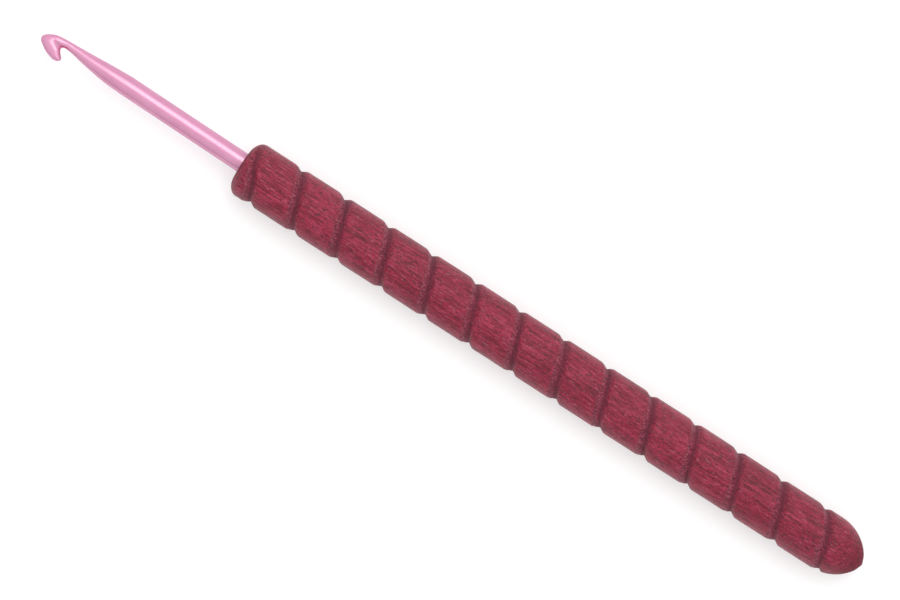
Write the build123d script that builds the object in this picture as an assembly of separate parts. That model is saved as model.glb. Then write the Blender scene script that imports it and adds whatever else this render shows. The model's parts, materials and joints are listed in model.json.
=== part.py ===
from build123d import *
import math
import os

# A crochet hook in three pieces: an aluminium hook, the one-piece wooden handle that it is
# glued into, and the cured glue between them. Sizes are in millimetres.
#
# The part lies on its side, as on a table. +X runs from the hook's tip to the handle's butt, +Z is
# up, and the hook's mouth opens towards -Y. The handle's axis is in the plane Y = 0. The origin is
# the middle of the part's length and width, on the table.

# --- Hook: lengths are along its own axis ---
HOOK_REACH = 45.1  # tip of the hook to the handle's face
TAPER_LENGTH = 18.6  # tip of the hook to the start of the straight shaft
SHAFT_DIAMETER = 4.0  # straight shaft, the hook's size
SHANK_LENGTH = 38.0  # shaft inside the handle
SHANK_CHAMFER = 0.4
KEY_RINGS = 4  # shallow rings round the shank that the glue keys into
KEY_RING_START = 0.05  # inside the handle's face, for the first ring
KEY_RING_WIDTH = 1.0
KEY_RING_DEPTH = 0.2
KEY_RING_PITCH = 9.0

# --- Hook: head. Each point is (distance from the tip, sideways from the shaft's axis) ---
THROAT_BACK = (6.4, 1.15)
THROAT_INNER = (6.4, -0.67)
MIDDLE_BACK = (12.5, 1.58)  # half-way up the taper
MIDDLE_INNER = (12.5, -1.62)
HEAD_BACK = [(3.5, 0.90), (1.5, 0.38), (0.0, -1.15), (1.5, -2.64), (3.7, -3.50)]
NOTCH = [(4.75, -0.68), (4.2, -1.10), (4.55, -1.90)]  # round the root of the mouth
LIP_TIP = (5.33, -2.90)
LIP_TIP_ROUND = 0.22  # half the lip's thickness at its very end

# --- Hook: half of its thickness, square to the plane of the mouth ---
MIDDLE_HALF_THICKNESS = 1.68
THROAT_HALF_THICKNESS = 1.22
HEAD_HALF_THICKNESS = 1.52
LIP_HALF_THICKNESS = 0.45

# --- Handle ---
HANDLE_LENGTH = 140.8
HANDLE_DIAMETER = 11.4
SHOULDER_LENGTH = 2.2  # the front shoulder is a quarter of an ellipse
SHOULDER_DROP = 3.2
BUTT_LENGTH = 8.0  # the butt is an ogive, tangent to the barrel
BUTT_FULLNESS = 0.78  # share of the handle's radius kept this near its tip:
BUTT_MIDDLE = 0.45  # share of the butt's length
BUTT_TIP_SLOPE = (0.40, -1.0)  # the ogive's direction at its tip

# --- Spiral groove: one right-handed start, the whole length of the handle ---
GROOVE_PITCH = 9.9
GROOVE_DEPTH = 0.7
GROOVE_HOOK_FLANK = 1.5  # width along the handle of the flank towards the hook
GROOVE_BUTT_FLANK = 1.0
GROOVE_LEAD_IN = 3.0  # handle's face to where the groove first crosses the handle's top
CUTTER_RISE = 0.5  # the cutter stands this far out of the wood

# --- Bore and glue ---
BORE_OFFSET = 0.38  # the bore's mouth is this far to the back (+Y) of the handle's axis
BORE_TILT = 0.74  # degrees; the hook's tip leans to the back
GLUE_FILM = 0.1  # radial gap round the shank
GLUE_PAD = 1.0  # glue between the shank's end and the bore's full-width end
GLUE_RECESS = 0.8  # the glue stops this far inside the handle's face
DRILL_POINT = 118.0  # degrees, the cone at the bore's floor
BORE_OVERRUN = 2.0  # the drill starts this far outside the handle

# --- Loft settings ---
HEAD_SECTIONS = 13
SECTION_POINTS = 12
SECTIONS_PER_SPAN = 3  # the bent head is lofted in spans of this many steps

# --- Sizes that follow ---
SHAFT_RADIUS = SHAFT_DIAMETER / 2
HANDLE_RADIUS = HANDLE_DIAMETER / 2
BORE_RADIUS = SHAFT_RADIUS + GLUE_FILM
BORE_DEPTH = SHANK_LENGTH + GLUE_PAD
OVERALL_LENGTH = HOOK_REACH + HANDLE_LENGTH
FACE_X = HOOK_REACH - OVERALL_LENGTH / 2
BUTT_X = OVERALL_LENGTH / 2
AXIS_HEIGHT = HANDLE_RADIUS


def hook_place():
    """From the hook's own frame, whose origin is its axis at the bore's mouth, to the part's."""
    return Pos(FACE_X, BORE_OFFSET, AXIS_HEIGHT) * Rot(0, 0, -BORE_TILT)


def rod(radius, start, end):
    """A round bar along X from start to end."""
    return Pos(start, 0, 0) * Rot(0, 90, 0) * Cylinder(
        radius, end - start, align=(Align.CENTER, Align.CENTER, Align.MIN)
    )


def hook_point(from_tip, sideways):
    return Vector(from_tip - HOOK_REACH, sideways, 0)


def section(back, inner, half_thickness):
    """An oval from the hook's back to its inner side, as a closed wire."""
    centre = (back + inner) / 2
    half_width = (back - inner) / 2
    half_height = Vector(0, 0, half_thickness)
    angles = [2 * math.pi * k / SECTION_POINTS for k in range(SECTION_POINTS)]
    points = [centre + half_width * math.cos(a) + half_height * math.sin(a) for a in angles]
    return Wire([Edge.make_spline(points, periodic=True)])


def head_half_thickness(t):
    """Along the bent head, from the throat (0) round the nose (0.5) to the tip of the lip (1)."""
    if t < 0.5:
        swell = math.sin(math.pi * t) ** 2
        return THROAT_HALF_THICKNESS + swell * (HEAD_HALF_THICKNESS - THROAT_HALF_THICKNESS)
    thinning = (2 * t - 1) ** 2
    return HEAD_HALF_THICKNESS - thinning * (HEAD_HALF_THICKNESS - LIP_HALF_THICKNESS)


def hook_head():
    """The taper, then the throat and the bent head with its lip, as lofts that share end faces."""
    lip_back = hook_point(LIP_TIP[0], LIP_TIP[1] - LIP_TIP_ROUND)
    lip_inner = hook_point(LIP_TIP[0], LIP_TIP[1] + LIP_TIP_ROUND)
    back = Edge.make_spline([hook_point(*THROAT_BACK), *[hook_point(*p) for p in HEAD_BACK], lip_back])
    inner = Edge.make_spline([hook_point(*THROAT_INNER), *[hook_point(*p) for p in NOTCH], lip_inner])
    steps = [k / (HEAD_SECTIONS - 1) for k in range(HEAD_SECTIONS)]
    head = [section(back @ t, inner @ t, head_half_thickness(t)) for t in steps]
    shaft_end = Plane(origin=hook_point(TAPER_LENGTH, 0), x_dir=(0, 1, 0), z_dir=(1, 0, 0))
    taper = [
        Wire([Edge.make_circle(SHAFT_RADIUS, shaft_end)]),
        section(hook_point(*MIDDLE_BACK), hook_point(*MIDDLE_INNER), MIDDLE_HALF_THICKNESS),
        head[0],
    ]
    lofts = [Solid.make_loft(taper)]
    for start in range(0, HEAD_SECTIONS - 1, SECTIONS_PER_SPAN):
        lofts.append(Solid.make_loft(head[start : start + SECTIONS_PER_SPAN + 1]))
    return lofts[0].fuse(*lofts[1:])


def hook():
    shaft = rod(SHAFT_RADIUS, TAPER_LENGTH - HOOK_REACH, SHANK_LENGTH)
    shaft = chamfer(shaft.edges().sort_by(Axis.X)[-1], SHANK_CHAMFER)
    for k in range(KEY_RINGS):
        start = KEY_RING_START + k * KEY_RING_PITCH
        end = start + KEY_RING_WIDTH
        shaft -= rod(SHAFT_RADIUS + KEY_RING_DEPTH, start, end) - rod(
            SHAFT_RADIUS - KEY_RING_DEPTH, start, end
        )
    return shaft + hook_head()


def bore():
    """The drilled hole, in the hook's own frame."""
    point_height = BORE_RADIUS / math.tan(math.radians(DRILL_POINT / 2))
    point = Pos(BORE_DEPTH, 0, 0) * Rot(0, 90, 0) * Cone(
        BORE_RADIUS, 0, point_height, align=(Align.CENTER, Align.CENTER, Align.MIN)
    )
    return rod(BORE_RADIUS, -BORE_OVERRUN, BORE_DEPTH) + point


def handle_blank():
    """The turned handle before the groove is carved, round the X axis."""
    barrel_start = FACE_X + SHOULDER_LENGTH
    barrel_end = BUTT_X - BUTT_LENGTH
    face_radius = HANDLE_RADIUS - SHOULDER_DROP
    butt_middle = (BUTT_X - BUTT_MIDDLE * BUTT_LENGTH, BUTT_FULLNESS * HANDLE_RADIUS)
    with BuildSketch() as profile:
        with BuildLine():
            Line((BUTT_X, 0), (FACE_X, 0))
            Line((FACE_X, 0), (FACE_X, face_radius))
            EllipticalCenterArc(
                (barrel_start, face_radius), SHOULDER_LENGTH, SHOULDER_DROP, start_angle=90, arc_size=90
            )
            Line((barrel_start, HANDLE_RADIUS), (barrel_end, HANDLE_RADIUS))
            Spline((barrel_end, HANDLE_RADIUS), butt_middle, (BUTT_X, 0), tangents=[(1, 0), BUTT_TIP_SLOPE])
        make_face()
    return revolve(profile.sketch, Axis.X)


def groove_cutter():
    """A V swept along the spiral, from before the handle's face to past its butt."""
    lead = GROOVE_PITCH - GROOVE_LEAD_IN
    start = FACE_X - lead
    turns = math.ceil((BUTT_X - start) / GROOVE_PITCH)
    turn_starts = [Vector(start + k * GROOVE_PITCH, 0, 0) for k in range(turns)]
    one_turn = GROOVE_PITCH, GROOVE_PITCH, HANDLE_RADIUS
    path = Wire([Edge.make_helix(*one_turn, center=c, normal=(1, 0, 0)) for c in turn_starts])
    growth = 1 + CUTTER_RISE / GROOVE_DEPTH
    plane = Plane(origin=(start, 0, HANDLE_RADIUS), x_dir=(1, 0, 0), z_dir=(0, -1, 0))
    with BuildSketch(plane) as profile:
        with BuildLine():
            Polyline(
                (-GROOVE_HOOK_FLANK * growth, CUTTER_RISE),
                (0, -GROOVE_DEPTH),
                (GROOVE_BUTT_FLANK * growth, CUTTER_RISE),
                close=True,
            )
        make_face()
    return Solid.sweep(profile.sketch.faces()[0], path, is_frenet=True)


def handle():
    carved = Pos(0, 0, AXIS_HEIGHT) * (handle_blank() - groove_cutter())
    return carved - hook_place() * bore()


def adhesive():
    """The cured glue: a film round the shank, its rings filled, and a pad at the bore's floor."""
    filled = bore() - rod(BORE_RADIUS + GLUE_FILM, -2 * BORE_OVERRUN, GLUE_RECESS)
    return hook_place() * (filled - hook())


def main():
    pieces = {
        "hook": hook_place() * hook(),
        "handle": handle(),
        "adhesive": adhesive(),
    }
    os.makedirs("parts", exist_ok=True)
    for name, piece in pieces.items():
        export_step(piece, f"parts/{name}.step")


main()
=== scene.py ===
import json
import math

import bpy
import numpy as np
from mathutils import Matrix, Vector, noise


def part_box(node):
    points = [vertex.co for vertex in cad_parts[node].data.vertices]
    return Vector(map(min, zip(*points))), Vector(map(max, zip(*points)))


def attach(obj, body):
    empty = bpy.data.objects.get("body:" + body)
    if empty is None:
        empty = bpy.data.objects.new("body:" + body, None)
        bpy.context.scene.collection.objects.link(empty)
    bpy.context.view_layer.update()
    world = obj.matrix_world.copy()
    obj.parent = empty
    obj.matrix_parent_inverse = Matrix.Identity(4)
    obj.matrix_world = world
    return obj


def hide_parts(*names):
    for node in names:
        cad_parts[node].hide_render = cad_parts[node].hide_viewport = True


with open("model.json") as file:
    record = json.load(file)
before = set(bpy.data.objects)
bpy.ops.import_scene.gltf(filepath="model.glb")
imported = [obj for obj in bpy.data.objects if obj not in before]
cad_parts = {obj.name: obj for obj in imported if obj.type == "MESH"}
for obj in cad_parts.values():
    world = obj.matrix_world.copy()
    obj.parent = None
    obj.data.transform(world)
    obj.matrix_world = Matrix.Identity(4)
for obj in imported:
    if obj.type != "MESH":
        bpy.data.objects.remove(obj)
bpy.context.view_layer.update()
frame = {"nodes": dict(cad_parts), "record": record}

MM = 0.001

# ---------------------------------------------------------------- places from the frame
HANDLE_LOW, HANDLE_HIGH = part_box("handle")
FACE_X = HANDLE_LOW.x  # the handle's flat front face
BUTT_X = HANDLE_HIGH.x
AXIS_Z = (HANDLE_LOW.z + HANDLE_HIGH.z) / 2
BARREL_RADIUS = (HANDLE_HIGH.z - HANDLE_LOW.z) / 2
SHAFT_MOUNT = frame["record"]["mounts"][0]
HOOK_DIRECTION = Vector(SHAFT_MOUNT["axis"])  # from the handle to the hook's tip
SHAFT_RADIUS = SHAFT_MOUNT["dims"]["r_mm"] * MM
HOOK_SIDE = Vector((HOOK_DIRECTION.y, -HOOK_DIRECTION.x, 0))  # the hook's back, +Y
BORE_MOUTH = Vector(SHAFT_MOUNT["pos_m"]) + HOOK_DIRECTION * (
    (FACE_X - SHAFT_MOUNT["pos_m"][0]) / HOOK_DIRECTION.x
)  # where the shaft leaves the handle
HOOK_REACH = (FACE_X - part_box("hook")[0].x) / -HOOK_DIRECTION.x

# ---------------------------------------------------------------- the view
CAMERA_TURN = math.radians(32.842)
CAMERA_HEIGHT = 952.5 * MM  # over the object's axis
CAMERA_SHIFT = (-0.38 * MM, -0.16 * MM)

# ---------------------------------------------------------------- the handle's sizes
COLUMNS = 80  # round the barrel; the rows are spaced so that mesh lines follow the spiral
GROOVE_PITCH = 9.9 * MM
GROOVE_LEAD_IN = 3.0 * MM  # front face to where the groove first crosses the top
FIRST_ROOT = FACE_X + GROOVE_LEAD_IN - GROOVE_PITCH / 4  # and where its spiral crosses the +Y side
SPIRAL_TURNS = (-2, 16)  # tabled, beyond both ends of the handle
GROOVE_DEPTH = 0.72 * MM
HOOK_FLANK = 1.50 * MM
BUTT_FLANK = 1.12 * MM
ROOT_ROUND = 0.07 * MM
EDGE_ROUND = 0.12 * MM
FRONT_X = FACE_X + 0.17 * MM  # the sanded front face stands a little behind the CAD's
SHOULDER_LENGTH = 2.2 * MM
SHOULDER_DROP = 3.2 * MM
BUTT_LENGTH = 8.0 * MM
BUTT_BLUNTING = 0.2 * MM
TIP_ROUNDING = 0.8 * MM
BARREL_TAPER = 0.05 * MM  # the barrel is this much slimmer at the butt
DRIFT = 0.13 * MM  # how far the groove strays along the handle
FIRST_SLANT = -0.5 * MM  # and how far more in its first turn
FIRST_SLANT_TURN = 0.25
LAST_STRAY = 0.6 * MM  # and in its last
LAST_STRAY_TURN = 13.25
STRAY_SPREAD = 0.16  # turns
DEPTH_CHANGE = 0.13  # share by which the groove's depth comes and goes
LAND_UNEVENNESS = 0.035 * MM
LAND_START = 1.0 * MM  # over which the unevenness comes in behind the front face
TEAR_HEIGHT = 0.11 * MM  # on the flank towards the hook
TEAR_MIDDLE = 0.75 * MM  # of the torn band, from the groove's root
TEAR_WIDTH = 0.75 * MM
FLANK_MIDDLE = 0.95 * MM  # of the band with a torn look, from the groove's root
FLANK_WIDTH = 0.60 * MM
END_GRAIN_START = 0.15 * MM  # below the barrel, where end grain starts to show
END_GRAIN_RANGE = 2.2 * MM
SHADE_POWERS = (2.6, 1.35)  # how narrow the painted shade at the groove's root is on the hook's and the butt's side
SHOULDER_ROWS = 26
BUTT_ROWS = 56
BORE_RADIUS = 2.1 * MM
BORE_DEPTH = 39.0 * MM
BORE_CONE = 1.2 * MM  # left by the drill
BORE_DEPTHS = (0.5 * MM, 2 * MM, 8 * MM, 20 * MM, BORE_DEPTH)
FACE_ROWS = 6

# ---------------------------------------------------------------- the hook's sizes
# Distances in mm: from the tip's plane along the shaft, and sideways from the shaft's axis.
BACK_LINE = [(18.6, 2.0), (14.8, 1.77), (11.0, 1.46), (8.0, 1.25), (5.7, 1.11), (3.4, 0.91), (2.2, 0.68),
             (1.1, 0.14), (0.35, -0.42), (0.0, -1.15), (0.36, -1.86), (1.1, -2.41), (2.3, -3.08),
             (3.5, -3.48), (4.2, -3.60), (4.82, -3.50), (5.27, -3.22), (5.47, -2.86)]
INNER_LINE = [(18.6, -2.0), (14.8, -1.86), (11.0, -1.42), (8.7, -1.06), (7.3, -0.79), (6.4, -0.65),
              (5.5, -0.55), (4.90, -0.55), (4.54, -0.70), (4.33, -0.93), (4.30, -1.18), (4.43, -1.48),
              (4.68, -1.80), (4.96, -2.10), (5.22, -2.38), (5.41, -2.64), (5.47, -2.86)]
# Sections from the taper's start to the lip's tip, fanned round the mouth's root:
# share of the back line, share of the inner line, half the thickness square to the mouth.
SECTIONS = [(0.0, 0.0, 2.0), (0.16, 0.25, 1.86), (0.32, 0.50, 1.60), (0.468, 0.74, 1.30), (0.525, 0.83, 1.24),
            (0.60, 0.862, 1.28), (0.68, 0.874, 1.36), (0.76, 0.884, 1.42), (0.84, 0.896, 1.40),
            (0.91, 0.93, 1.32), (0.96, 0.965, 1.20), (1.0, 1.0, 1.05)]
LIP_ROUNDING = 0.05  # the share of the head over which the lip's tip rounds off
SHANK_LENGTH = 38.0  # inside the handle
SHANK_ROUNDING = 0.39  # on the shank's end
HOOK_COLUMNS = 64
HOOK_TURNS = [2 * math.pi * k / HOOK_COLUMNS for k in range(HOOK_COLUMNS)]
HEAD_ROWS = 240
LAST_STATION = 0.996  # the lip's tip is closed just short of the last section
VALLEY_START = np.array([1.9, -0.50])  # the hollow beside the mouth: in the nose
VALLEY_END = np.array([4.42, -0.92])  # and at the mouth's root
VALLEY_DEPTH = 0.24  # as a share of the thickness
VALLEY_WIDTH = 0.36
# How much boxier than an ellipse the head's sections are, as less of the sine's power.
INNER_BOXINESS = 0.48
BACK_BOXINESS = 0.34
NOSE_BOXINESS = 0.20


def linear(srgb):
    """An 8-bit sRGB colour as linear light."""
    shares = [c / 255 for c in srgb]
    return tuple(s / 12.92 if s <= 0.04045 else ((s + 0.055) / 1.055) ** 2.4 for s in shares) + (1.0,)


def smooth_min(a, b, k):
    """The lower of a and b, with the corner between them rounded over k."""
    h = np.clip(0.5 + 0.5 * (b - a) / k, 0, 1)
    return b + (a - b) * h - k * h * (1 - h)


def smooth_step(x, low, high):
    t = np.clip((x - low) / (high - low), 0, 1)
    return t * t * (3 - 2 * t)


def add_mesh(name, points, faces):
    mesh = bpy.data.meshes.new(name)
    mesh.from_pydata([tuple(p) for p in points], [], faces)
    mesh.validate()
    mesh.shade_smooth()
    piece = bpy.data.objects.new(name, mesh)
    bpy.context.scene.collection.objects.link(piece)
    return piece


def bridge(lower, upper, diagonal=False):
    """Faces between two closed rings of vertex numbers. With diagonal, triangles cut along the spiral."""
    count = len(lower)
    faces = []
    for i in range(count):
        j = (i + 1) % count
        a, b, c, d = lower[i], lower[j], upper[j], upper[i]
        if diagonal:
            faces += [(a, b, c), (a, c, d)]
        else:
            faces.append((a, b, c, d))
    return faces


# ================================================================ camera
def make_camera():
    """Straight down on the object, turned so that the object runs up to the left."""
    data = bpy.data.cameras.new("camera")
    data.lens = 200
    data.sensor_width = 36
    data.clip_start = 0.05
    camera = bpy.data.objects.new("camera", data)
    middle_x = (FACE_X + BUTT_X - HOOK_REACH) / 2
    camera.location = (middle_x + CAMERA_SHIFT[0], CAMERA_SHIFT[1], AXIS_Z + CAMERA_HEIGHT)
    camera.rotation_euler = (0, 0, CAMERA_TURN)
    bpy.context.scene.collection.objects.link(camera)
    bpy.context.scene.camera = camera


# ================================================================ handle
def row_places():
    """Where the rings stand along the handle: shoulder, barrel and butt."""
    step = GROOVE_PITCH / COLUMNS
    barrel_start = FRONT_X + SHOULDER_LENGTH
    barrel_end = BUTT_X - BUTT_LENGTH
    first = math.ceil((barrel_start - FIRST_ROOT) / step)
    last = math.floor((barrel_end - FIRST_ROOT) / step)
    quarter = [math.pi / 2 * k / SHOULDER_ROWS for k in range(SHOULDER_ROWS)]
    shoulder = [FRONT_X + SHOULDER_LENGTH * (1 - math.cos(a)) for a in quarter]
    barrel = [FIRST_ROOT + step * k for k in range(first, last + 1)]
    butt = [BUTT_X - BUTT_LENGTH * (1 - (k / BUTT_ROWS) ** 1.15) for k in range(1, BUTT_ROWS)]
    return np.array(shoulder), np.array(barrel), np.array(butt)


def blank_radius(x):
    """The turned shape before carving."""
    radius = np.full_like(x, BARREL_RADIUS)
    radius -= BARREL_TAPER * np.clip((x - FACE_X) / (BUTT_X - FACE_X), 0, 1)
    front = x < FRONT_X + SHOULDER_LENGTH
    inward = np.clip((FRONT_X + SHOULDER_LENGTH - x[front]) / SHOULDER_LENGTH, 0, 1)
    radius[front] -= SHOULDER_DROP * (1 - np.sqrt(1 - inward ** 2))
    back = x > BUTT_X - BUTT_LENGTH
    end_radius = BARREL_RADIUS - BARREL_TAPER
    length = BUTT_LENGTH + BUTT_BLUNTING
    arc = (length ** 2 + end_radius ** 2) / (2 * end_radius)
    along = x[back] - (BUTT_X - BUTT_LENGTH)
    from_tip = np.clip((BUTT_X - x[back]) / TIP_ROUNDING, 0, 1)
    pointed = end_radius - arc + np.sqrt(arc ** 2 - along ** 2)
    radius[back] = pointed * np.sqrt(1 - (1 - from_tip) ** 2)
    return radius


def wander(turns):
    """How far the hand-cut groove strays along the handle from a true spiral, by turns from the front."""
    drift = DRIFT * noise.noise(Vector((turns * 3.1, 7.3, 0)))
    at_first = math.exp(-((turns - FIRST_SLANT_TURN) / STRAY_SPREAD) ** 2)
    at_last = math.exp(-((turns - LAST_STRAY_TURN) / STRAY_SPREAD) ** 2)
    return drift + FIRST_SLANT * math.sin(4 * math.pi * turns) * at_first + LAST_STRAY * at_last


def surface_noise(x, angle, along, around):
    """Noise over the handle's surface, with a scale along it and one round it."""
    return np.array([
        noise.noise(Vector((px / MM * along, math.cos(a) * around, math.sin(a) * around)))
        for px, a in zip(x, angle)
    ])


def carve(x, angle):
    """How far the carved surface is from the axis at places along and round the handle, and its marks,
    painted shade at the groove's root among them.
    """
    phase = (x - FIRST_ROOT) / GROOVE_PITCH - angle / (2 * math.pi)
    turn = np.round(phase)
    samples = np.arange(*SPIRAL_TURNS, 1 / COLUMNS)
    strays = np.array([wander(t) for t in samples])
    depths = np.array([1 + DEPTH_CHANGE * noise.noise(Vector((t * 2.3, 0, 4.1))) for t in samples])
    spiral = turn + angle / (2 * math.pi)
    away = (phase - turn) * GROOVE_PITCH - np.interp(spiral, samples, strays)
    depth = GROOVE_DEPTH * np.interp(spiral, samples, depths)
    width = np.where(away < 0, HOOK_FLANK, BUTT_FLANK)
    rise = (np.sqrt(away ** 2 + ROOT_ROUND ** 2) - ROOT_ROUND) / width * depth
    cut = BARREL_RADIUS - depth + rise
    blank = blank_radius(x)
    lands = LAND_UNEVENNESS * surface_noise(x, angle, 0.16, 1.6)
    lands *= smooth_step(x, FRONT_X, FRONT_X + LAND_START)
    tears = surface_noise(x, angle, 1.7, 9.5) + 0.5 * surface_noise(x, angle, 3.9, 20)
    cut = cut + TEAR_HEIGHT * tears * np.exp(-((away + TEAR_MIDDLE) / TEAR_WIDTH) ** 2)
    radius = smooth_min(blank + lands, cut, EDGE_ROUND)
    groove = np.clip((blank - radius) / GROOVE_DEPTH, 0, 1)
    flank = np.exp(-((away + FLANK_MIDDLE) / FLANK_WIDTH) ** 2) * np.clip(groove * 6, 0, 1)
    end_grain = np.clip((BARREL_RADIUS - END_GRAIN_START - blank) / END_GRAIN_RANGE, 0, 1)
    # painted shade: darkest at the groove's root, narrower on the hook's side
    painted_root_shade = groove ** np.where(away < 0, *SHADE_POWERS)
    return radius, {"groove": groove, "painted_root_shade": painted_root_shade, "flank": flank, "end_grain": end_grain}


def face_rings(angles):
    """Rings across the flat front face, from the shoulder's foot in to the bore."""
    foot = BARREL_RADIUS - SHOULDER_DROP
    for step in range(1, FACE_ROWS + 1):
        ring = []
        for a in angles:
            y, z = math.cos(a), math.sin(a)
            outer = Vector((FRONT_X, foot * y, AXIS_Z + foot * z))
            edge = Vector((FRONT_X, BORE_MOUTH.y + BORE_RADIUS * y, AXIS_Z + BORE_RADIUS * z))
            ring.append(outer.lerp(edge, step / FACE_ROWS))
        yield ring


def bore_rings(angles):
    """Rings down the bore, which leans with the shaft."""
    for depth in BORE_DEPTHS:
        centre = BORE_MOUTH - HOOK_DIRECTION * depth
        yield [
            centre + HOOK_SIDE * BORE_RADIUS * math.cos(a) + Vector((0, 0, BORE_RADIUS * math.sin(a)))
            for a in angles
        ]


def make_handle():
    """The carved surface row by row, closed at the butt, then the front face and the bore."""
    rows = np.concatenate(row_places())
    angles = 2 * math.pi * np.arange(COLUMNS) / COLUMNS
    grid_x = np.repeat(rows, COLUMNS)
    grid_angle = np.tile(angles, len(rows))
    radius, marks = carve(grid_x, grid_angle)
    points = [
        (x, r * math.cos(a), AXIS_Z + r * math.sin(a))
        for x, r, a in zip(grid_x, radius, grid_angle)
    ]
    rings = [list(range(k * COLUMNS, (k + 1) * COLUMNS)) for k in range(len(rows))]
    faces = []
    for k in range(len(rows) - 1):
        faces += bridge(rings[k], rings[k + 1], diagonal=True)
    tip = carved_points = len(points)
    points.append((BUTT_X, 0, AXIS_Z))
    faces += [(rings[-1][i], rings[-1][(i + 1) % COLUMNS], tip) for i in range(COLUMNS)]
    inner = rings[0]
    for spots in [*face_rings(angles), *bore_rings(angles)]:
        ring = list(range(len(points), len(points) + COLUMNS))
        points += [tuple(spot) for spot in spots]
        faces += bridge(ring, inner)
        inner = ring
    floor = len(points)
    points.append(tuple(BORE_MOUTH - HOOK_DIRECTION * (BORE_DEPTH + BORE_CONE)))
    faces += [(inner[(i + 1) % COLUMNS], inner[i], floor) for i in range(COLUMNS)]
    piece = add_mesh("carved_handle", points, faces)
    for name, values in marks.items():
        elsewhere = 1.0 if name == "end_grain" else 0.0
        everywhere = np.full(len(points), elsewhere, np.float32)
        everywhere[:carved_points] = values
        piece.data.attributes.new(name, "FLOAT", "POINT").data.foreach_set("value", everywhere)
    return piece


# ================================================================ hook
def spline(points):
    """A smooth curve (centripetal Catmull-Rom) through the points: shares of its length, and places."""
    knots = [np.array(p, float) for p in points]
    knots = [2 * knots[0] - knots[1]] + knots + [2 * knots[-1] - knots[-2]]
    dense = []
    for p0, p1, p2, p3 in zip(knots, knots[1:], knots[2:], knots[3:]):
        t0 = 0.0
        t1 = t0 + np.linalg.norm(p1 - p0) ** 0.5
        t2 = t1 + np.linalg.norm(p2 - p1) ** 0.5
        t3 = t2 + np.linalg.norm(p3 - p2) ** 0.5
        for t in np.linspace(t1, t2, 24, endpoint=False):
            a1 = (t1 - t) / (t1 - t0) * p0 + (t - t0) / (t1 - t0) * p1
            a2 = (t2 - t) / (t2 - t1) * p1 + (t - t1) / (t2 - t1) * p2
            a3 = (t3 - t) / (t3 - t2) * p2 + (t - t2) / (t3 - t2) * p3
            b1 = (t2 - t) / (t2 - t0) * a1 + (t - t0) / (t2 - t0) * a2
            b2 = (t3 - t) / (t3 - t1) * a2 + (t - t1) / (t3 - t1) * a3
            dense.append((t2 - t) / (t2 - t1) * b1 + (t - t1) / (t2 - t1) * b2)
    dense.append(knots[-2])
    dense = np.array(dense)
    lengths = np.concatenate([[0], np.cumsum(np.linalg.norm(np.diff(dense, axis=0), axis=1))])
    return lengths / lengths[-1], dense


def at_share(curve, share):
    shares, dense = curve
    return np.array([np.interp(share, shares, dense[:, k]) for k in (0, 1)])


def eased(stations, values, window=9):
    """Values at evenly spaced knots, read at the stations, with the kinks at the knots smoothed out."""
    rough = np.interp(stations, np.linspace(0, 1, len(values)), values)
    before = 2 * rough[0] - rough[window:0:-1]
    after = 2 * rough[-1] - rough[-2:-window - 2:-1]
    padded = np.concatenate([before, rough, after])
    weights = np.hanning(2 * window + 1)
    return np.convolve(padded, weights / weights.sum(), "valid")


def hook_point(from_tip, sideways, up):
    """A point given in mm in the hook's own frame, as a place in the row frame."""
    along = HOOK_REACH - from_tip * MM
    return BORE_MOUTH + HOOK_DIRECTION * along + HOOK_SIDE * (sideways * MM) + Vector((0, 0, up * MM))


def make_hook():
    """The shank and the shaft as round rings, then the head as fanned oval sections."""
    back, inner = spline(BACK_LINE), spline(INNER_LINE)
    stations = np.linspace(0, LAST_STATION, HEAD_ROWS)
    back_shares, inner_shares, thicknesses = (eased(stations, column) for column in zip(*SECTIONS))
    points, rings, walls = [], [], []
    reach, radius = HOOK_REACH / MM, SHAFT_RADIUS / MM
    add_round_ring(points, rings, reach + SHANK_LENGTH - 0.01, radius - SHANK_ROUNDING)
    for depth in (SHANK_LENGTH - 0.4, 30, 20, 10, 5, 1, 0):
        add_round_ring(points, rings, reach + depth, radius)
    for from_tip in np.linspace(reach - 1, BACK_LINE[0][0] + 0.5, 30):
        add_round_ring(points, rings, from_tip, radius)
    thicknesses *= np.sqrt(np.clip((1 - stations) / LIP_ROUNDING, 0, 1))
    for station, b, n, thick in zip(stations, back_shares, inner_shares, thicknesses):
        outer, root = at_share(back, b), at_share(inner, n)
        add_ring(points, rings, [head_spot(outer, root, thick, t, station) for t in HOOK_TURNS])
        # the mask of the painted reflection on the mouth's walls
        walls += [mouth_reflection_share(station, t) for t in HOOK_TURNS]
    plain = len(points) - len(walls)
    faces = []
    for lower, upper in zip(rings, rings[1:]):
        faces += bridge(lower, upper)
    for ring, flip in ((rings[0], True), (rings[-1], False)):
        middle = len(points)
        points.append(tuple(sum((Vector(points[k]) for k in ring), Vector()) / len(ring)))
        for i in range(HOOK_COLUMNS):
            pair = (ring[i], ring[(i + 1) % HOOK_COLUMNS])
            faces.append((pair[1], pair[0], middle) if flip else (pair[0], pair[1], middle))
    piece = add_mesh("aluminium_hook", points, [tuple(reversed(f)) for f in faces])
    # the mouth attribute carries the mask of the painted reflection on the mouth's walls
    mouth = np.zeros(len(points), np.float32)
    mouth[plain:plain + len(walls)] = walls
    piece.data.attributes.new("mouth", "FLOAT", "POINT").data.foreach_set("value", mouth)
    return piece


def mouth_reflection_share(station, turn):
    """How far a point of a head section takes the painted reflection on the mouth's walls, from 0 to 1."""
    in_mouth = smooth_step(station, 0.26, 0.36)
    low = 0.42 + 0.32 * smooth_step(station, 0.46, 0.62)
    return in_mouth * smooth_step(-math.cos(turn), low, low + 0.26)


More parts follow.
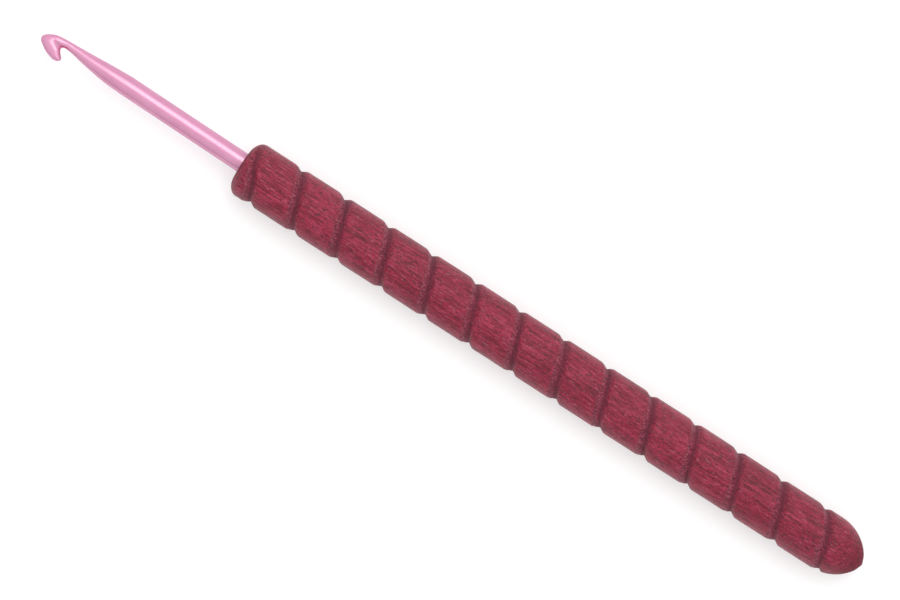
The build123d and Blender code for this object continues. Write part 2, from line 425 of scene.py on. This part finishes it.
def head_spot(outer, root, thick, turn, station):
    """One point of a head section: an oval between the back line and the inner line."""
    c, s = math.cos(turn), math.sin(turn)
    middle, half = (outer + root) / 2, (outer - root) / 2
    in_head = smooth_step(station, 0.12, 0.32)
    in_nose = smooth_step(station, 0.36, 0.50) * (1 - smooth_step(station, 0.74, 0.86))
    power = 1 - (INNER_BOXINESS if c < 0 else BACK_BOXINESS) * in_head - NOSE_BOXINESS * in_nose
    rise = math.copysign(abs(s) ** power, s)
    flat = middle + half * c
    return flat[0], flat[1], thick * rise * (1 - valley_depth(flat))


def valley_depth(flat):
    """The hollow between the throat and the lip, from the nose's middle to the mouth's root."""
    line, away = VALLEY_END - VALLEY_START, flat - VALLEY_START
    along = np.dot(away, line) / np.dot(line, line)
    off = abs(np.cross(line, away)) / np.linalg.norm(line)
    return VALLEY_DEPTH * float(smooth_step(along, 0.0, 0.8)) * math.exp(-(off / VALLEY_WIDTH) ** 2)


def add_ring(points, rings, spots):
    rings.append(list(range(len(points), len(points) + len(spots))))
    points += [tuple(hook_point(*spot)) for spot in spots]


def add_round_ring(points, rings, from_tip, radius):
    add_ring(points, rings, [(from_tip, radius * math.cos(t), radius * math.sin(t)) for t in HOOK_TURNS])


# ================================================================ materials
class Nodes:
    """Short calls for building one material's nodes."""

    def __init__(self, name):
        self.material = bpy.data.materials.new(name)
        self.material.use_nodes = True
        self.tree = self.material.node_tree
        self.shader = self.tree.nodes["Principled BSDF"]

    def add(self, kind, links=(), **values):
        node = self.tree.nodes.new(kind)
        for key, value in values.items():
            setattr(node, key, value)
        for socket, source in dict(links).items():
            if isinstance(source, bpy.types.NodeSocket):
                self.tree.links.new(source, node.inputs[socket])
            else:
                node.inputs[socket].default_value = source
        return node

    def mapped(self, scale):
        """Places in mm, stretched by a scale along each axis."""
        coordinates = self.add("ShaderNodeTexCoord")
        mapping = self.add("ShaderNodeMapping", {"Vector": coordinates.outputs["Object"]})
        mapping.inputs["Scale"].default_value = [s / MM for s in scale]
        return mapping.outputs["Vector"]

    def noise(self, scale, detail=2.0, rough=0.5):
        links = {"Vector": self.mapped(scale), "Scale": 1.0, "Detail": detail, "Roughness": rough}
        return self.add("ShaderNodeTexNoise", links).outputs["Fac"]

    def ramp(self, source, stops):
        node = self.add("ShaderNodeValToRGB", {"Fac": source})
        ramp = node.color_ramp
        while len(ramp.elements) < len(stops):
            ramp.elements.new(0.5)
        for element, (place, colour) in zip(ramp.elements, stops):
            element.position = place
            element.color = colour
        return node.outputs["Color"]

    def grey(self, source, stops):
        return self.ramp(source, [(place, (g, g, g, 1)) for place, g in stops])

    def mix(self, factor, a, b, blend="MIX"):
        node = self.add("ShaderNodeMix", data_type="RGBA", blend_type=blend)
        for socket, value in ((0, factor), (6, a), (7, b)):
            if isinstance(value, bpy.types.NodeSocket):
                self.tree.links.new(value, node.inputs[socket])
            else:
                node.inputs[socket].default_value = value
        return node.outputs[2]

    def maths(self, operation, a, b=0.0, clamp=False):
        node = self.add("ShaderNodeMath", {0: a, 1: b}, operation=operation, use_clamp=clamp)
        return node.outputs["Value"]

    def attribute(self, name):
        return self.add("ShaderNodeAttribute", attribute_name=name).outputs["Fac"]

    def bump(self, height, distance, strength=1.0, normal=None):
        links = {"Height": height, "Distance": distance, "Strength": strength}
        if normal is not None:
            links["Normal"] = normal
        return self.add("ShaderNodeBump", links).outputs["Normal"]

    def set(self, socket, value):
        if isinstance(value, bpy.types.NodeSocket):
            self.tree.links.new(value, self.shader.inputs[socket])
        else:
            self.shader.inputs[socket].default_value = value


WOOD_LIGHT = linear((159, 51, 78))
WOOD_MID = linear((138, 24, 54))
WOOD_DARK = linear((100, 12, 31))
WOOD_PORE = linear((54, 18, 30))
WOOD_FLECK = linear((180, 124, 138))
# the colour of the painted shade at the groove's root, also a dark tone of the torn flank
WOOD_ROOT_SHADE_AND_TEAR = linear((88, 36, 50))
WOOD_TORN = linear((142, 54, 72))


def dyed_wood():
    """Dark red wood: fibres along the handle, pores and dabs, painted shade deepening to the groove's root,
    and torn or end grain.
    """
    m = Nodes("dyed_wood")
    groove = m.attribute("groove")
    end_grain = m.attribute("end_grain")
    fibres = m.noise((0.26, 2.5, 2.5), 5, 0.68)
    streaks = m.noise((0.05, 0.8, 0.8), 3, 0.5)
    blotches = m.noise((0.14, 0.22, 0.22), 3, 0.55)
    speckle = m.noise((2.4, 3.6, 3.6), 4, 0.7)
    pores = m.noise((1.3, 4.6, 4.6), 2, 0.5)
    dabs = m.noise((1.0, 3.6, 3.6), 2, 0.5)
    relief = m.noise((0.5, 1.9, 1.9), 3, 0.6)

    colour = m.ramp(fibres, [(0.36, WOOD_DARK), (0.5, WOOD_MID), (0.64, WOOD_LIGHT)])
    colour = m.mix(0.8, colour, m.grey(streaks, [(0.35, 0.82), (0.65, 1.10)]), "MULTIPLY")
    colour = m.mix(0.8, colour, m.grey(blotches, [(0.35, 0.92), (0.65, 1.06)]), "MULTIPLY")
    colour = m.mix(0.9, colour, m.grey(speckle, [(0.34, 0.60), (0.66, 1.32)]), "MULTIPLY")
    dark = m.grey(pores, [(0.58, 0.0), (0.66, 1.0)])
    pale = m.grey(dabs, [(0.62, 0.0), (0.72, 1.0)])
    colour = m.mix(m.maths("MULTIPLY", dark, 0.85), colour, WOOD_PORE)
    colour = m.mix(m.maths("MULTIPLY", pale, 0.35), colour, WOOD_FLECK)

    # The carved marks and the painted shade at the groove's root, from the attributes that carve() leaves on
    # the mesh.
    # painted shade, darkening the groove towards its root
    colour = m.mix(m.maths("MULTIPLY", m.attribute("painted_root_shade"), 0.82, clamp=True), colour, WOOD_ROOT_SHADE_AND_TEAR)
    torn = m.ramp(speckle, [(0.36, WOOD_PORE), (0.44, WOOD_ROOT_SHADE_AND_TEAR), (0.54, WOOD_TORN), (0.70, WOOD_FLECK)])
    colour = m.mix(m.maths("MULTIPLY", m.attribute("flank"), 0.70), colour, torn)
    pricked = m.ramp(speckle, [(0.34, WOOD_PORE), (0.50, WOOD_DARK), (0.66, WOOD_MID), (0.78, WOOD_FLECK)])
    colour = m.mix(m.maths("MULTIPLY", end_grain, 0.72), colour, pricked)
    m.set("Base Color", colour)

    # Sheen on the lands, none in the cuts, and relief from broad waves down to grit and pits.
    rough = m.grey(fibres, [(0.3, 0.30), (0.7, 0.44)])
    rough = m.mix(m.maths("MAXIMUM", groove, end_grain), rough, (0.7, 0.7, 0.7, 1))
    m.set("Roughness", rough)
    m.set("Specular IOR Level", 0.30)
    waves = m.bump(relief, 0.20 * MM, 0.9)
    grain = m.bump(fibres, 0.09 * MM, 0.9, waves)
    grit = m.bump(speckle, 0.09 * MM, 0.9, grain)
    pits = m.bump(m.maths("SUBTRACT", pale, dark), 0.03 * MM, 0.9, grit)
    tears = m.bump(m.maths("MULTIPLY", speckle, groove), 0.14 * MM, 0.9, pits)
    m.set("Normal", tears)
    return m.material


DYE_DARK = linear((208, 127, 170))
DYE_LIGHT = linear((214, 139, 178))
# painted reflection: the deep pink that the mouth's walls mirror from the lip
MOUTH_REFLECTION_PINK = linear((212, 56, 128))
METAL_EDGE_TINT = (0.60, 0.32, 0.46, 1)
GLUE_DARK = linear((205, 180, 160))
GLUE_LIGHT = linear((222, 204, 186))


def pink_aluminium():
    """Satin dyed metal under a smooth clear coat, with a painted pink reflection on the mouth's walls."""
    m = Nodes("pink_aluminium")
    haze = m.noise((0.25, 0.5, 0.5), 3, 0.5)
    drawn = m.noise((0.12, 14.0, 14.0), 2, 0.5)
    dyed = m.ramp(haze, [(0.3, DYE_DARK), (0.7, DYE_LIGHT)])
    # painted reflection: the mouth's walls deepen to the pink they mirror from the lip
    m.set("Base Color", m.mix(m.maths("MULTIPLY", m.attribute("mouth"), 0.8), dyed, MOUTH_REFLECTION_PINK))
    m.set("Metallic", 1.0)
    m.set("Roughness", m.grey(m.noise((0.4, 2.0, 2.0), 3, 0.6), [(0.3, 0.60), (0.7, 0.66)]))
    m.set("Normal", m.bump(drawn, 0.004 * MM, 0.5))
    m.set("Specular Tint", METAL_EDGE_TINT)
    m.set("Coat Weight", 0.72)
    m.set("Coat IOR", 2.5)
    m.set("Coat Roughness", 0.20)
    return m.material


def clear_glue():
    m = Nodes("clear_glue")
    cloud = m.noise((0.6, 0.6, 0.6), 3, 0.5)
    m.set("Base Color", m.ramp(cloud, [(0.3, GLUE_DARK), (0.7, GLUE_LIGHT)]))
    m.set("Roughness", m.grey(cloud, [(0.3, 0.18), (0.7, 0.3)]))
    m.set("Normal", m.bump(cloud, 0.03 * MM, 0.4))
    return m.material


def glowing_pale_floor():
    m = Nodes("glowing_pale_floor")
    cloud = m.noise((0.004, 0.004, 0.004), 2, 0.5)
    m.set("Base Color", m.grey(cloud, [(0.3, 0.60), (0.7, 0.62)]))
    m.set("Roughness", 0.9)
    # the floor glows: painted light that keeps it white, keeps its contact shadow faint and lights the object
    # from below
    m.set("Emission Color", (1, 1, 1, 1))
    m.set("Emission Strength", 0.42)
    return m.material


# ================================================================ studio
FLOOR_HALF = 1.5
KEY_PLACE = (0.0, 0.48, 1.0)
KEY_SIZE = (0.6, 0.8)
KEY_POWER = 3.8
ROOM_LOW = (0.29, 0.29, 0.30, 1)  # the room's light at the floor's level
ROOM_RISE = 0.24  # the sine of the elevation at which the room turns white
ROOM_LEAN = 0.12  # the room is a little brighter on the side of the hook's back
ROOM_STRENGTH = 1.03


def make_floor():
    corners = [(x * FLOOR_HALF, y * FLOOR_HALF, 0) for x, y in ((-1, -1), (1, -1), (1, 1), (-1, 1))]
    floor = add_mesh("floor", corners, [(0, 1, 2, 3)])
    floor.data.materials.append(glowing_pale_floor())


def make_light(name, place, target, size, power):
    data = bpy.data.lights.new(name, "AREA")
    data.shape = "RECTANGLE"
    data.size, data.size_y = size
    data.energy = power
    light = bpy.data.objects.new(name, data)
    light.location = place
    light.rotation_euler = (Vector(target) - Vector(place)).to_track_quat("-Z", "Y").to_euler()
    bpy.context.scene.collection.objects.link(light)


def make_world():
    """A white room, brighter overhead than round its foot."""
    world = bpy.data.worlds.new("studio")
    world.use_nodes = True
    tree = world.node_tree
    background = tree.nodes["Background"]
    coordinates = tree.nodes.new("ShaderNodeTexCoord")
    parts = tree.nodes.new("ShaderNodeSeparateXYZ")
    ramp = tree.nodes.new("ShaderNodeValToRGB")
    ramp.color_ramp.elements[0].color = ROOM_LOW
    ramp.color_ramp.elements[1].color = (1, 1, 1, 1)
    ramp.color_ramp.elements[1].position = ROOM_RISE
    tree.links.new(coordinates.outputs["Generated"], parts.inputs[0])
    lean = tree.nodes.new("ShaderNodeMath")
    lean.operation = "MULTIPLY_ADD"
    lean.inputs[1].default_value = ROOM_LEAN
    tree.links.new(parts.outputs["Y"], lean.inputs[0])
    tree.links.new(parts.outputs["Z"], lean.inputs[2])
    tree.links.new(lean.outputs[0], ramp.inputs["Fac"])
    tree.links.new(ramp.outputs["Color"], background.inputs["Color"])
    background.inputs["Strength"].default_value = ROOM_STRENGTH
    bpy.context.scene.world = world


def make_studio():
    make_world()
    make_light("key", KEY_PLACE, (0, 0, 0), KEY_SIZE, KEY_POWER)
    bpy.context.scene.view_settings.view_transform = "Standard"


def place_piece(piece, material, node):
    piece.data.materials.append(material)
    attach(piece, "root")
    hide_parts(node)


def main():
    make_camera()
    place_piece(make_handle(), dyed_wood(), "handle")
    place_piece(make_hook(), pink_aluminium(), "hook")
    glue = frame["nodes"]["adhesive"]
    glue.data.materials.clear()
    glue.data.materials.append(clear_glue())
    make_floor()
    make_studio()


main()
